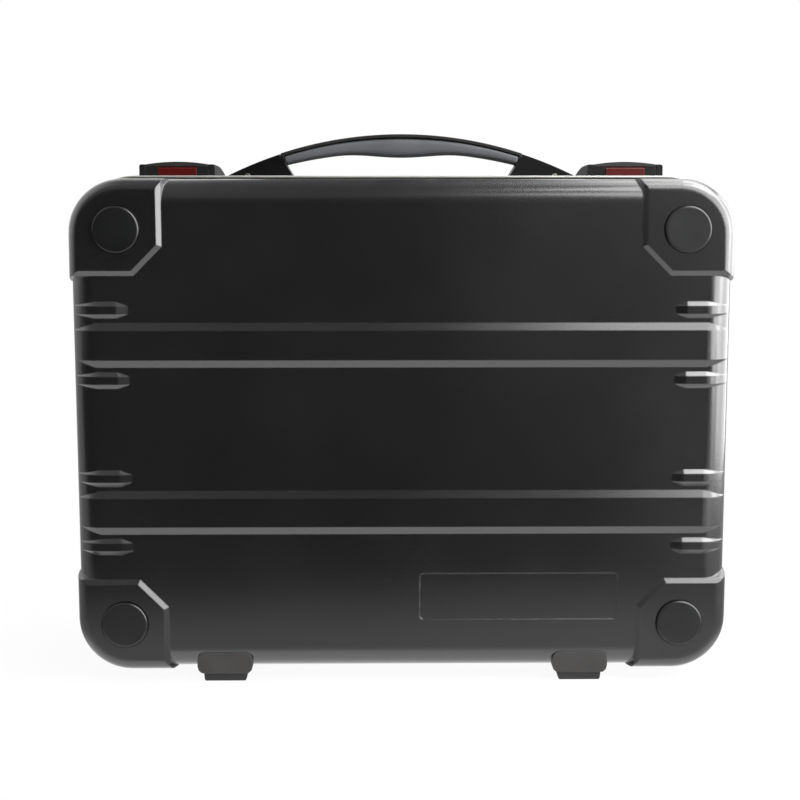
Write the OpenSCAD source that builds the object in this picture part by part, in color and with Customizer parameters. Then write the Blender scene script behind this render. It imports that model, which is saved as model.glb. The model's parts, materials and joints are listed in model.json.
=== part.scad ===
// Attache-style transport case: two moulded shells, each in its own aluminium
// rim frame, hinged along the bottom, with two lever latches and a bow handle.
// X runs across the case, Y from the lid (front) to the base (rear), Z up.
// The origin is under the middle of the case, on the surface that it stands on.

/* [Case] */
// Width of the moulded shells at the rim
case_w = 480; // [432:1:560]
// Height of the moulded shells at the rim
case_h = 362; // [330:1:420]
// Depth of the lid, from the parting plane to its front panel
lid_depth = 64; // [56:1:90]
// Depth of the base, from the parting plane to its rear panel
base_depth = 100; // [96:1:140]
// Radius of the case's four corners, seen from the front
corner_r = 40; // [36:1:48]
// Wall thickness of the shells
wall = 3; // [2.6:0.1:4]
// Fillet between the side walls and the panels
panel_fillet = 17; // [15:0.5:24]
// Draft angle of the side walls
draft = 1.2; // [0.6:0.1:3]

/* [Relief on the shells] */
// Height of the ribs above the panels
rib_h = 2.2; // [1:0.1:2.3]
// Distance of the two long ribs from the middle of the case
rib_offset = 61.3; // [50:0.5:75]
// Flat width of the long ribs
rib_flat = 21.4; // [12:0.2:24]
// Width of each slope of the long ribs
rib_slope = 5.5; // [3:0.5:6]
// Distance of the short ribs from the middle of the long rib
short_rib_offset = 25.4; // [22:0.2:30]
// Flat width of the short ribs
short_rib_flat = 5.9; // [4:0.1:8]
// Width of each slope of the short ribs
short_rib_slope = 3; // [2:0.5:4]
// Distance of the short ribs' inner tips from the side of the case
short_rib_reach = 43; // [34:1:60]
// Length over which a short rib runs out at its inner tip
short_rib_tip = 8; // [4:0.5:14]
// Height of the corner pads above the panels
pad_h = 2.2; // [1:0.1:3]
// Reach of a corner pad from the side of the case
pad_reach_x = 64.5; // [60:0.5:80]
// Reach of a corner pad from the top or bottom of the case
pad_reach_z = 66.2; // [62:0.5:80]
// Reach of a corner pad's cut corner, along the diagonal
pad_reach_diagonal = 79.3; // [74:0.5:90]
// Width of the slope round a corner pad
pad_slope = 3.6; // [2:0.2:5]
// Fillet of a corner pad's outer edge
pad_fillet = 9; // [6:0.5:14]
// Width of the bare name plate field
plate_w = 145.8; // [100:1:160]
// Height of the bare name plate field
plate_h = 34.7; // [24:0.5:40]
// Distance of the name plate field from the right side of the case
plate_side = 81.5; // [76:0.5:90]
// Distance of the name plate field from the bottom of the case
plate_bottom = 38.9; // [30:0.1:42]
// Depth of the name plate field
plate_sink = 0.6; // [0.3:0.1:1]

/* [Rim frames] */
// Height of the frame's bead above the shell
bead_h = 2.4; // [1.8:0.1:2.6]
// Depth of the bead, from the parting plane
bead_depth = 4.6; // [4:0.1:6]
// Height of the dark seal under the bead
seal_h = 1; // [0.6:0.1:1.4]
// Depth of the frame's leg inside the shell
frame_leg = 14; // [10:1:20]

/* [Corner plugs] */
// Diameter of the round corner plugs
plug_d = 33.4; // [24:0.2:38]
// Height of a plug above its pad
plug_h = 2.8; // [1.5:0.1:4]
// Distance of a plug's centre from the side of the case
plug_inset_x = 36; // [34:0.5:40]
// Distance of a plug's centre from the top or bottom of the case
plug_inset_z = 36.75; // [35:0.25:42]

/* [Feet] */
// Distance of the feet from the sides of the case
foot_side = 108.5; // [95:0.5:120]
// Width of a foot block
foot_w = 40.8; // [30:0.2:50]
// Height of a foot block below the shell
foot_drop = 2.4; // [2:0.1:5]
// Length of a foot block, front to back
foot_length = 44; // [30:1:46]
// Height of a foot block's front edge above the bottom of the shell
foot_rise = 14.4; // [10:0.2:16]
// Height of a foot block's front face above the panel
foot_proud = 0.4; // [0.2:0.1:1.5]
// Width of a rubber foot pad at its top
foot_pad_w = 31.9; // [20:0.1:34]
// Thickness of a rubber foot pad
foot_pad_h = 5.6; // [5.4:0.1:8]

/* [Latches] */
// Distance of the latches from the sides of the case
latch_side = 70.5; // [69:0.1:72]
// Overall width of a latch
latch_w = 57; // [50:0.5:58]
// Height of a latch's cheeks above the shell
latch_h = 11.1; // [10.5:0.1:13]
// Thickness of a latch's cheeks
cheek_t = 4.6; // [4:0.1:6]
// Width of the release button
button_w = 29.2; // [20:0.2:32]
// Travel of the release button
button_travel = 2.5; // [1:0.1:3]

/* [Handle] */
// Height of the handle's top above the shell
handle_rise = 34; // [33:0.5:44]
// Distance between the tips of the handle's feet and the latches
handle_gap = 9.5; // [6:0.5:16]
// Height of the tips of the handle's feet above the shell
handle_tip_h = 3.65; // [3:0.05:5]
// Width of the handle, front to back
handle_w = 28; // [24:0.5:32]
// Thickness of the strap on top of the handle
strap_t = 2.4; // [1.5:0.1:3]

/* [Hinges] */
// Distance of the hinges from the middle of the case
hinge_x = 62; // [50:1:75]
// Width of a hinge
hinge_w = 60; // [45:1:70]
// Radius of the hinge knuckles
knuckle_r = 2.4; // [2.1:0.1:2.5]
// Diameter of the hinge pins
hinge_pin_d = 2.4; // [1.8:0.1:2.6]

/* [Hidden] */
$fn = 64;
// clearances
rest_gap = 0.1;
slide_gap = 0.3;
pin_gap = 0.05;
seam_gap = 0.2;
cut = 1;

// shell
rim_start = 3.4;
pad_start = bead_depth + 1;
pad_draft = draft * 0.64;
tuck = 0.2;
sink = 0.5;
pad_root = 1;
pad_flare_fillet = 4;
pad_flare_rim = 8.5;
plug_recess = 1.6;
plug_edge_r = 1.4;
plug_seat_gap = 0.6;
plug_stem_r = 5;
plug_foot_r = 8;
plug_foot_t = 2;

// heights and places
foot_stand = foot_drop + foot_pad_h;
foot_x = case_w / 2 - foot_side;
foot_pad_end = 3;
latch_x = case_w / 2 - latch_side;
bottom_z = foot_stand;
mid_z = bottom_z + case_h / 2;
top_z = bottom_z + case_h;
seam_y = (lid_depth - base_depth) / 2;

// rim frames
web_depth = rim_start - rest_gap;
leg_out = wall + frame_leg * tan(draft) + rest_gap;
leg_t = 1.6;
groove_out = leg_out + leg_t + 0.4;
groove_in = groove_out + 2.4;
flange_in = groove_in + 1.4;
groove_depth = 2.9;
tongue_side_gap = 0.5;
tongue_h = 0.6;
gasket_top = tongue_h + seam_gap + slide_gap;

// decks that level the base's top under the latches and the handle
deck_start = bead_depth + 0.6;
latch_end = 82;
latch_rear_h = 2;
deck_root = 1.5;

// latch
latch_front = bead_depth + 1;
latch_crown = 2;
latch_arc_r = 330;
latch_arc_y = 12;
latch_tail = 20;
latch_tail_end = 8;
latch_tail_drop = 4.6;
lever_gap = 0.4;
lever_w = latch_w - 2 * cheek_t - 2 * lever_gap;
lever_bottom = 2.25;
lever_pivot_y = 58;
lever_pivot_z = 4.5;
lever_knuckle_r = 2.9;
lever_rear = 62;
lever_wall = 2.2;
lever_block = 22;
lever_pocket_end = 52;
lever_pin_r = 1.6;
lever_bevel_z = latch_h - 1.2;
bridge_start = 66;
floor_t = 1.4;
floor_start = lever_block + 1;
button_z0 = 2.5;
button_z1 = 9.1;
button_depth = 9;
button_proud = 0.4;
button_pocket = latch_front + button_depth - button_proud + button_travel + 0.6;
button_bore_r = 2.3;
button_bore = 5;
spring_r = 2;
hook_w = 22;
hook_t = 1.6;
hook_front = 0.3;
hook_end = 19;
notch_w = hook_w + 4;
notch_depth = 1.6;
keeper_w = 18;
keeper_top = 0.25;
latch_rivet_x = 15;
latch_rivet_y = [30, 46];

// handle
handle_l = 2 * (latch_x - latch_w / 2 - handle_gap);
handle_sag = handle_rise - handle_tip_h;
handle_r = (pow(handle_l / 2, 2) + pow(handle_sag, 2)) / (2 * handle_sag);
pivot_y = 30;
pivot_z = 7;
handle_front = -16;
handle_rear = handle_front + handle_w;
handle_centre_z = handle_rise - handle_r;
handle_foot_l = 42;
grip_half = handle_l / 2 - handle_foot_l;
strap_half = grip_half + 2.5;
foot_step = 0.5;
handle_rest = 0.3;
foot_turn_r = pivot_z - handle_rest - 0.2;
handle_foot_low_x = grip_half - 8.5;
ear_x = grip_half + 10.5;
ear_t = 6;
ear_r = 4.4;
handle_pin_r = 1.9;
handle_pin_half = 9.6;
mount_w = 30;
mount_l = 26;
mount_t = 1.6;
mount_screw_y = 8.5;
mount_screw_x = 11;
ring_x = ear_x + 17;
ring_z = 2.6;
ring_r = 1.9;
ring_l = 6.2;
ring_proud = 0.3;
grip_proud = 1.2;
grip_ends = 7;
grip_taper = 3.7;
grip_swell = 4.1;
grip_swell_half = 52;
grip_reach = asin(grip_half / (handle_r - strap_t));

// hinges
hinge_drop = bead_h + knuckle_r + seam_gap;
leaf_t = 1.5;
leaf_end = 27;
leaf_joggle = bead_depth + 1.4;
knuckle_count = 5;
hinge_rivet_x = 20;
hinge_rivet_b = 20;
hinge_rivet_r = 1.6;

// Frames of reference

// Lid's frame: X across, Y up the case, Z from the parting plane to the front.
module on_lid()
    translate([0, seam_y, mid_z]) rotate([90, 0, 0]) children();

// Base's frame: X across, Y up the case, Z from the parting plane to the rear.
module on_base()
    translate([0, seam_y, mid_z]) mirror([0, 1, 0]) rotate([90, 0, 0]) children();

// Frame on top of the case, over the parting plane.
module on_top(x = 0, y = 0)
    translate([x, seam_y + y, top_z]) children();

// Turns a profile drawn in Y and Z into a bar along X, centred on X = 0.
module bar_x(length)
    translate([-length / 2, 0, 0]) rotate([90, 0, 90])
        linear_extrude(length) children();

// Turns a profile drawn in X and Z into a bar along Y, from Y = start.
module bar_y(start, length)
    translate([0, start + length, 0]) rotate([90, 0, 0])
        linear_extrude(length) children();

// A round rod along X, centred on X = 0.
module rod_x(r, length)
    rotate([0, 90, 0]) cylinder(r = r, h = length, center = true);

// A round rod along Y, from Y = start.
module rod_y(r, start, length)
    translate([0, start, 0]) rotate([-90, 0, 0]) cylinder(r = r, h = length);

// Repeats its children in the four quarters of the case.
module four_corners()
    for (sx = [-1, 1], sy = [-1, 1])
        scale_sign(sx, sy) children();

module scale_sign(sx, sy)
    mirror([sx < 0 ? 1 : 0, 0, 0]) mirror([0, sy < 0 ? 1 : 0, 0]) children();

// Sections

// Half of a shell's section, filled: X from the corner's axis outwards, Y from
// the parting plane to the panel.
module half_section(r_out, start, depth, fillet, angle) {
    cy = depth - fillet;
    cx = r_out - cy * tan(angle) - fillet / cos(angle);
    r_start = r_out - start * tan(angle);
    polygon([[0, start], [r_start, start],
             [cx + fillet * cos(angle), cy + fillet * sin(angle)],
             [cx + fillet / 5, cy + fillet / 5], [cx, depth], [0, depth]]);
    intersection() {
        translate([cx, cy]) circle(r = fillet);
        translate([cx, cy])
            polygon([[0, 0], 2 * fillet * [cos(angle), sin(angle)],
                     2 * fillet * [1, 1], 2 * fillet * [0, 1]]);
    }
}

module shell_section(depth)
    difference() {
        half_section(corner_r, rim_start, depth, panel_fillet, draft);
        half_section(corner_r - wall, -cut, depth - wall, panel_fillet - wall, draft);
    }

module pad_section(depth)
    difference() {
        half_section(corner_r, pad_start, depth + pad_h, pad_fillet, pad_draft);
        half_section(corner_r - pad_root, -cut, depth - pad_root,
                     panel_fillet - pad_root, draft);
    }

// A rounded rectangle, its corners as quarter discs.
module round_rect(w, h, r) {
    square([w - 2 * r, h], center = true);
    for (s = [-1, 1])
        translate([s * (w - r) / 2, 0]) square([r, h - 2 * r], center = true);
    for (sx = [-1, 1], sy = [-1, 1])
        translate([sx * (w / 2 - r), sy * (h / 2 - r)])
            intersection() {
                circle(r = r);
                translate([min(0, sx) * r, min(0, sy) * r]) square(r);
            }
}

// Runs a section round the case's outline.
module rim_sweep()
    for (k = [0:3]) {
        along = (k % 2 == 0 ? case_w : case_h) / 2 - corner_r;
        across = (k % 2 == 0 ? case_h : case_w) / 2 - corner_r;
        rotate([0, 0, 90 * k]) translate([along, across, 0]) {
            rotate_extrude(angle = 90) children();
            rotate([90, 0, 0]) linear_extrude(2 * across) children();
        }
    }

// Shells

function fillet_y(depth) = depth - panel_fillet;
function fillet_x(depth) = case_w / 2 - fillet_y(depth) * tan(draft)
                           - panel_fillet / cos(draft);

module plain_shell(depth) {
    rim_sweep() shell_section(depth);
    translate([0, 0, depth - wall / 2])
        cube([case_w - 2 * corner_r, case_h - 2 * corner_r, wall], center = true);
}

// Section of a rib: X across it, Y from its root to its top.
module rib_section(flat, slope, base)
    polygon([[-flat / 2 - slope * (1 + sink / rib_h), base - sink],
             [flat / 2 + slope * (1 + sink / rib_h), base - sink],
             [flat / 2, base + rib_h], [-flat / 2, base + rib_h]]);

// A rib's end, rolled over the fillet until it is flush with the side wall.
module rib_end(depth, flat, slope)
    translate([fillet_x(depth) - rib_h / cos(draft) - tuck, 0, fillet_y(depth)])
        rotate([90, 0, 0]) rotate_extrude(angle = 90)
            rotate([0, 0, 90]) mirror([0, 1, 0])
                rib_section(flat, slope, panel_fillet);

module long_rib(depth) {
    bar_x(2 * (fillet_x(depth) - rib_h / cos(draft) - tuck))
        rib_section(rib_flat, rib_slope, depth);
    for (s = [0, 1]) mirror([s, 0, 0]) rib_end(depth, rib_flat, rib_slope);
}

// A short rib: level, then slanting down to its inner tip at a constant flat width.
module short_rib(depth) {
    start = case_w / 2 - short_rib_reach + short_rib_tip;
    end = fillet_x(depth) - rib_h / cos(draft) - tuck;
    slant_l = norm([short_rib_tip, rib_h]) + sink;
    translate([(start + end) / 2, 0, 0]) bar_x(end - start)
        rib_section(short_rib_flat, short_rib_slope, depth);
    translate([start, 0, depth + rib_h]) rotate([0, -atan(rib_h / short_rib_tip), 0])
        translate([-slant_l / 2, 0, 0]) bar_x(slant_l)
            rib_section(short_rib_flat, short_rib_slope, -rib_h);
    rib_end(depth, short_rib_flat, short_rib_slope);
}

module ribs(depth)
    for (sy = [0, 1]) mirror([0, sy, 0]) {
        translate([0, rib_offset, 0]) long_rib(depth);
        for (sx = [0, 1], side = [-1, 1]) mirror([sx, 0, 0])
            translate([0, rib_offset + side * short_rib_offset, 0]) short_rib(depth);
    }

// Everything on the corner's side of a pad's sloped edge, in a given direction.
module pad_bound(depth, direction, edge) {
    big = case_w + case_h;
    k = pad_slope / pad_h;
    rotate([0, 0, direction]) translate([0, big / 2, 0]) rotate([90, 0, 0])
        linear_extrude(big)
            polygon([[edge + k * cut, depth + pad_h + cut],
                     [edge - pad_slope, depth],
                     [edge - pad_slope - pad_flare_fillet, depth - panel_fillet * 0.7],
                     [edge - pad_flare_rim - pad_slope, -cut],
                     [big, -cut], [big, depth + pad_h + cut]]);
}

module pad_blank(depth) {
    reach = pad_reach_z + pad_slope + pad_flare_rim + 4 - corner_r;
    translate([case_w / 2 - corner_r, case_h / 2 - corner_r, 0]) {
        rotate_extrude(angle = 90) pad_section(depth);
        rotate([90, 0, 0]) linear_extrude(reach) pad_section(depth);
        translate([-reach, 0, 0]) rotate([90, 0, 90])
            linear_extrude(reach) pad_section(depth);
        translate([-reach, -reach, depth - pad_root])
            cube([reach, reach, pad_h + pad_root]);
    }
}

module corner_pad(depth)
    intersection() {
        pad_blank(depth);
        pad_bound(depth, 0, case_w / 2 - pad_reach_x);
        pad_bound(depth, 90, case_h / 2 - pad_reach_z);
        pad_bound(depth, 45, (case_w + case_h) / 2 / sqrt(2) - pad_reach_diagonal);
    }

module at_plug()
    translate([case_w / 2 - plug_inset_x, case_h / 2 - plug_inset_z, 0]) children();

module plug_seat(depth)
    at_plug() {
        translate([0, 0, depth + pad_h - plug_recess])
            cylinder(d = plug_d + 2 * plug_seat_gap, h = plug_recess + cut);
        translate([0, 0, depth - wall - cut])
            cylinder(r = plug_stem_r + rest_gap, h = wall + 2 * cut);
    }

module half_shell(depth)
    difference() {
        union() {
            plain_shell(depth);
            ribs(depth);
            four_corners() corner_pad(depth);
        }
        four_corners() plug_seat(depth);
    }

module hinge_rivet_holes()
    for (s = [-1, 1]) hinge_frame(s * hinge_x) at_hinge_rivets()
        cylinder(r = hinge_rivet_r + rest_gap / 2, h = 4 * wall, center = true);

module lid_shell()
    color([0.13, 0.13, 0.14]) on_lid() difference() {
        half_shell(lid_depth);
        translate([plate_x(), plate_y(), lid_depth - plate_sink])
            linear_extrude(plate_sink + cut) round_rect(plate_w, plate_h, 3);
        hinge_rivet_holes();
    }

function plate_x() = case_w / 2 - plate_side - plate_w / 2;
function plate_y() = plate_bottom + plate_h / 2 - case_h / 2;

// A level deck on the base's top: X centre, width, start and end behind the rim.
module deck(x, w, start, end)
    on_top(x) bar_x(w)
        polygon([[start, 0], [end, 0],
                 [end, -end * tan(draft) - deck_root],
                 [start, -start * tan(draft) - deck_root]]);

module base_shell()
    color([0.13, 0.13, 0.14]) difference() {
        union() {
            on_base() half_shell(base_depth);
            for (s = [-1, 1]) deck(s * latch_x, latch_w + 1, deck_start, latch_end);
            deck(0, handle_l + 8, deck_start, pivot_y + handle_w);
        }
        on_base() hinge_rivet_holes();
        for (s = [-1, 1]) {
            on_top(s * latch_x) latch_rivet_shanks(rest_gap / 2);
            on_top(s * ear_x, pivot_y) {
                translate([0, 0, (cut - mount_t) / 2 - rest_gap / 2])
                    cube([mount_w + 2 * rest_gap, mount_l + 2 * rest_gap,
                          mount_t + cut + rest_gap], center = true);
                mount_screw_shanks(rest_gap / 2);
            }
        }
    }

// Rim frames, seals and gasket

module bead_half()
    polygon([[corner_r + bead_h - 0.5, seam_gap], [corner_r + bead_h, seam_gap + 0.5],
             [corner_r + bead_h, bead_depth - 0.4],
             [corner_r + bead_h - 0.4, bead_depth], [corner_r + seal_h, bead_depth],
             [corner_r + seal_h, web_depth], [corner_r - leg_out, web_depth],
             [corner_r - leg_out, frame_leg],
             [corner_r - leg_out - leg_t, frame_leg],
             [corner_r - leg_out - leg_t, web_depth], [corner_r - flange_in, web_depth],
             [corner_r - flange_in, seam_gap]]);

module lid_frame_section() {
    bead_half();
    translate([corner_r - groove_in + tongue_side_gap, -tongue_h])
        square([groove_in - groove_out - 2 * tongue_side_gap, tongue_h + 2 * seam_gap]);
}

module base_frame_section() {
    difference() {
        union() {
            bead_half();
            translate([corner_r - flange_in, web_depth - seam_gap])
                square([flange_in - leg_out - leg_t, groove_depth - web_depth + 1.6]);
        }
        translate([corner_r - groove_in, 0])
            square([groove_in - groove_out, groove_depth]);
    }
}

module seal_section()
    translate([corner_r - rest_gap / 2, web_depth + rest_gap / 2])
        square([seal_h - rest_gap, bead_depth - web_depth - rest_gap / 2]);

module lid_frame()
    color([0.8, 0.81, 0.82]) difference() {
        on_lid() rim_sweep() lid_frame_section();
        for (s = [-1, 1]) on_top(s * latch_x) keeper_pocket();
    }

module base_frame()
    color([0.8, 0.81, 0.82]) difference() {
        on_base() rim_sweep() base_frame_section();
        for (s = [-1, 1]) on_top(s * latch_x)
            translate([0, bead_depth / 2 + 0.5, bead_h / 2 + cut / 2 - notch_depth / 2])
                cube([notch_w, bead_depth + 1, bead_h + cut + notch_depth], center = true);
    }

module lid_seal()
    color([0.03, 0.03, 0.03]) on_lid() rim_sweep() seal_section();

module base_seal()
    color([0.03, 0.03, 0.03]) difference() {
        on_base() rim_sweep() seal_section();
        for (s = [-1, 1]) on_top(s * latch_x)
            translate([0, bead_depth, 0]) cube([notch_w, bead_depth, 2 * bead_h], center = true);
    }

module rim_gasket()
    color([0.06, 0.06, 0.06]) on_base() rim_sweep()
        translate([corner_r - groove_in + rest_gap, gasket_top])
            square([groove_in - groove_out - 2 * rest_gap,
                    groove_depth - gasket_top - rest_gap / 2]);

// Corner plugs

module plug(depth)
    at_plug() rotate_extrude() {
        top = depth + pad_h + plug_h;
        seat = depth + pad_h - plug_recess + rest_gap / 2;
        inner = depth - wall;
        translate([0, seat]) square([plug_d / 2, top - plug_edge_r - seat]);
        translate([0, top - plug_edge_r])
            square([plug_d / 2 - plug_edge_r, plug_edge_r]);
        intersection() {
            translate([plug_d / 2 - plug_edge_r, top - plug_edge_r])
                circle(r = plug_edge_r);
            translate([plug_d / 2 - plug_edge_r, top - plug_edge_r])
                square(plug_edge_r);
        }
        translate([0, inner - rest_gap]) square([plug_stem_r, seat - inner + 2 * rest_gap]);
        translate([0, inner - plug_foot_t]) square([plug_foot_r, plug_foot_t - rest_gap]);
    }

module lid_corner_plugs()
    color([0.15, 0.16, 0.17]) on_lid() four_corners() plug(lid_depth);

module base_corner_plugs()
    color([0.15, 0.16, 0.17]) on_base() four_corners() plug(base_depth);

// Feet

// Side section of a foot block, X down from the middle of the case, Y in depth.
module foot_section(depth) {
    front = depth + foot_proud;
    low = case_h / 2 + foot_drop;
    difference() {
        polygon([[case_h / 2 - foot_rise - cut, front - foot_length],
                 [low + cut, front - foot_length], [low + cut, front - 1.7 - cut],
                 [low, front - 1.7], [low - 1.7, front],
                 [case_h / 2 - foot_rise - cut, front]]);
        translate([case_h / 2 - corner_r, 0])
            half_section(corner_r + rest_gap, -cut, depth + rest_gap,
                         panel_fillet + rest_gap, draft);
    }
}

module foot_block(depth)
    for (s = [-1, 1]) translate([s * foot_x, 0, 0]) mirror([0, 1, 0]) intersection() {
        bar_x(foot_w + 2 * cut) foot_section(depth);
        translate([0, (case_h + foot_drop - foot_rise) / 2, 0])
            linear_extrude(depth) round_rect(foot_w, foot_rise + foot_drop, 6, $fn = 12);
    }

module foot_pad(depth)
    for (s = [-1, 1])
        translate([s * foot_x, -case_h / 2 - foot_drop - foot_pad_h,
                   depth + foot_proud - foot_length + foot_pad_end])
            linear_extrude(foot_length - 2 * foot_pad_end)
                polygon([[-foot_pad_w / 2, foot_pad_h], [foot_pad_w / 2, foot_pad_h],
                         [foot_pad_w / 2 - 0.5, 1], [foot_pad_w / 2 - 1.4, 0],
                         [1.4 - foot_pad_w / 2, 0], [0.5 - foot_pad_w / 2, 1]]);

module lid_feet()
    color([0.14, 0.14, 0.15]) on_lid() foot_block(lid_depth);

module base_feet()
    color([0.14, 0.14, 0.15]) on_base() foot_block(base_depth);

module lid_foot_pads()
    color([0.08, 0.08, 0.08]) on_lid() foot_pad(lid_depth);

module base_foot_pads()
    color([0.08, 0.08, 0.08]) on_base() foot_pad(base_depth);

// Hinges, drawn in a frame with Y down from the shell and Z away from the seam

module hinge_frame(x)
    translate([x, -case_h / 2, 0]) mirror([0, 1, 0]) children();

function leaf_face(b) = -b * tan(draft) + rest_gap;

// Plate of a leaf, stepped over the frame's bead on to the shell.
module leaf_plate(w)
    bar_x(w) polygon([
        [bead_h + rest_gap, knuckle_r + 0.6], [bead_h + rest_gap, leaf_joggle - 1],
        [leaf_face(leaf_joggle), leaf_joggle], [leaf_face(leaf_end), leaf_end],
        [leaf_face(leaf_end) + leaf_t, leaf_end],
        [leaf_face(leaf_joggle) + leaf_t, leaf_joggle + 1],
        [bead_h + rest_gap + leaf_t, leaf_joggle], [bead_h + rest_gap + leaf_t, knuckle_r + 0.6]]);

// A leaf with every second knuckle, from the first or the second one on.
module leaf(first) {
    step = hinge_w / knuckle_count;
    difference() {
        union() {
            leaf_plate(hinge_w);
            for (k = [first:2:knuckle_count - 1])
                translate([(k + 0.5) * step - hinge_w / 2, 0, 0]) {
                    translate([0, hinge_drop, 0]) rod_x(knuckle_r, step - slide_gap);
                    translate([0, bead_h + rest_gap + leaf_t / 2, (knuckle_r + 1.2) / 2])
                        cube([step - slide_gap, leaf_t, knuckle_r + 1.2], center = true);
                }
        }
        translate([0, hinge_drop, 0]) rod_x(hinge_pin_d / 2 + pin_gap, hinge_w + cut);
        at_hinge_rivets()
            cylinder(r = hinge_rivet_r + rest_gap / 2, h = 4 * wall, center = true);
    }
}

// Seats of a hinge's rivets, square to the drafted wall, Z into the shell.
module at_hinge_rivets()
    for (t = [-1, 1])
        translate([t * hinge_rivet_x, -hinge_rivet_b * tan(draft), hinge_rivet_b])
            rotate([90 + draft, 0, 0]) children();

module hinge_rivets()
    for (s = [-1, 1]) hinge_frame(s * hinge_x) at_hinge_rivets() {
        seat = leaf_t + rest_gap * 1.5;
        translate([0, 0, -seat - 1]) cylinder(r = 3, h = 1);
        translate([0, 0, -seat - 0.5])
            cylinder(r = hinge_rivet_r, h = seat + 0.5 + wall + 0.5);
        translate([0, 0, wall + rest_gap / 2]) cylinder(r = 2.6, h = 0.8);
    }

module left_lid_hinge_leaf()
    color("silver") on_lid() hinge_frame(-hinge_x) leaf(0);

module right_lid_hinge_leaf()
    color("silver") on_lid() hinge_frame(hinge_x) leaf(0);

module left_base_hinge_leaf()
    color("silver") on_base() hinge_frame(-hinge_x) leaf(1);

module right_base_hinge_leaf()
    color("silver") on_base() hinge_frame(hinge_x) leaf(1);

module lid_hinge_rivets()
    color("silver") on_lid() hinge_rivets();

module base_hinge_rivets()
    color("silver") on_base() hinge_rivets();

module hinge_pin(x)
    color("silver") on_base() hinge_frame(x)
        translate([0, hinge_drop, 0]) rod_x(hinge_pin_d / 2, hinge_w);

module left_hinge_pin() hinge_pin(-hinge_x);
module right_hinge_pin() hinge_pin(hinge_x);

// Latches, drawn on top of the case with Y behind the parting plane

// Side profile under the latch's arched top, raised by a crown.
module latch_profile(start, end, rise)
    intersection() {
        translate([latch_arc_y, latch_h + rise - latch_arc_r]) circle(r = latch_arc_r, $fn = 256);
        polygon([[start, 0], [end, 0], [end, latch_rear_h + rise],
                 [end - latch_tail_end, latch_h + rise - latch_tail_drop],
                 [end - latch_tail, latch_h + rise + cut],
                 [start, latch_h + rise + cut]]);
    }

module latch_housing(x)
    color([0.16, 0.16, 0.17]) on_top(x) difference() {
        union() {
            for (s = [-1, 1]) translate([s * (latch_w - cheek_t) / 2, 0, 0])
                bar_x(cheek_t) latch_profile(latch_front, latch_end, 0);
            bar_x(latch_w - cheek_t)
                polygon([[floor_start, 0], [latch_end - 2, 0],
                         [latch_end - 2, floor_t], [floor_start, floor_t]]);
            bar_x(latch_w - cheek_t) intersection() {
                latch_profile(latch_front, latch_end, 0);
                translate([bridge_start, 0]) square([latch_end, latch_h]);
            }
        }
        for (s = [0, 1]) mirror([s, 0, 0])
            translate([latch_w / 2, 0, latch_h]) rotate([0, 45, 0])
                cube([1.6, 4 * latch_end, 1.6], center = true);
        translate([0, lever_pivot_y, lever_pivot_z])
            rod_x(lever_pin_r + rest_gap / 4, latch_w - 2);
        latch_rivet_shanks(rest_gap / 2);
    }

function deck_inner(y) = -y * tan(draft) - wall;

module latch_rivet_shanks(gap)
    for (s = [-1, 1], y = latch_rivet_y)
        translate([s * latch_rivet_x, y, deck_inner(y) - cut])
            cylinder(r = 1.6 + gap, h = floor_t - deck_inner(y) + 1.5 * cut);

module latch_rivets()
    color("silver") for (side = [-1, 1]) on_top(side * latch_x) {
        latch_rivet_shanks(0);
        for (s = [-1, 1], y = latch_rivet_y) translate([s * latch_rivet_x, y, 0]) {
            translate([0, 0, floor_t + rest_gap / 2]) cylinder(r = 3, h = 1);
            translate([0, 0, deck_inner(y) - 1.1]) cylinder(r = 2.8, h = 0.8);
        }
    }

module latch_pin(x)
    color("silver") on_top(x) translate([0, lever_pivot_y, lever_pivot_z])
        rod_x(lever_pin_r, latch_w - 2.2);

module left_latch_pin() latch_pin(-latch_x);
module right_latch_pin() latch_pin(latch_x);
module left_latch_housing() latch_housing(-latch_x);
module right_latch_housing() latch_housing(latch_x);

// Front outline of the lever, with a crowned top.
module lever_outline() {
    crown_r = (pow(lever_w / 2, 2) + pow(latch_crown, 2)) / (2 * latch_crown);
    intersection() {
        translate([0, latch_h + latch_crown - crown_r]) circle(r = crown_r, $fn = 256);
        translate([0, latch_h]) square([lever_w, 2 * latch_h], center = true);
    }
}

module latch_lever(x)
    color([0.16, 0.16, 0.17]) on_top(x) difference() {
        intersection() {
            bar_x(lever_w) difference() {
                union() {
                    intersection() {
                        latch_profile(latch_front, lever_rear + latch_tail, latch_crown);
                        polygon([[latch_front, lever_bottom],
                                 [lever_pivot_y, lever_bottom],
                                 [lever_pivot_y + lever_knuckle_r, lever_pivot_z],
                                 [lever_rear, lever_pivot_z + 2],
                                 [lever_rear, 2 * latch_h], [latch_front, 2 * latch_h]]);
                    }
                    translate([lever_pivot_y, lever_pivot_z]) circle(r = lever_knuckle_r);
                }
                polygon([[latch_front - cut, lever_bevel_z - cut],
                         [latch_front - cut, 2 * latch_h],
                         [latch_front + latch_h, 2 * latch_h],
                         [latch_front + latch_h, lever_bevel_z + latch_h]]);
            }
            bar_y(0, latch_end) lever_outline();
        }
        translate([0, (lever_block + lever_pocket_end) / 2, latch_h / 2 - lever_wall])
            cube([lever_w - 2 * lever_wall, lever_pocket_end - lever_block, latch_h],
                 center = true);
        translate([0, latch_front - cut, (button_z0 + button_z1) / 2])
            translate([0, (button_pocket - latch_front + cut) / 2, 0])
                cube([button_w + 2 * slide_gap, button_pocket - latch_front + cut,
                      button_z1 - button_z0 + 2 * slide_gap], center = true);
        translate([0, lever_pivot_y, lever_pivot_z]) rod_x(lever_pin_r + pin_gap, latch_w);
    }

module left_latch_lever() latch_lever(-latch_x);
module right_latch_lever() latch_lever(latch_x);

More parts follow.
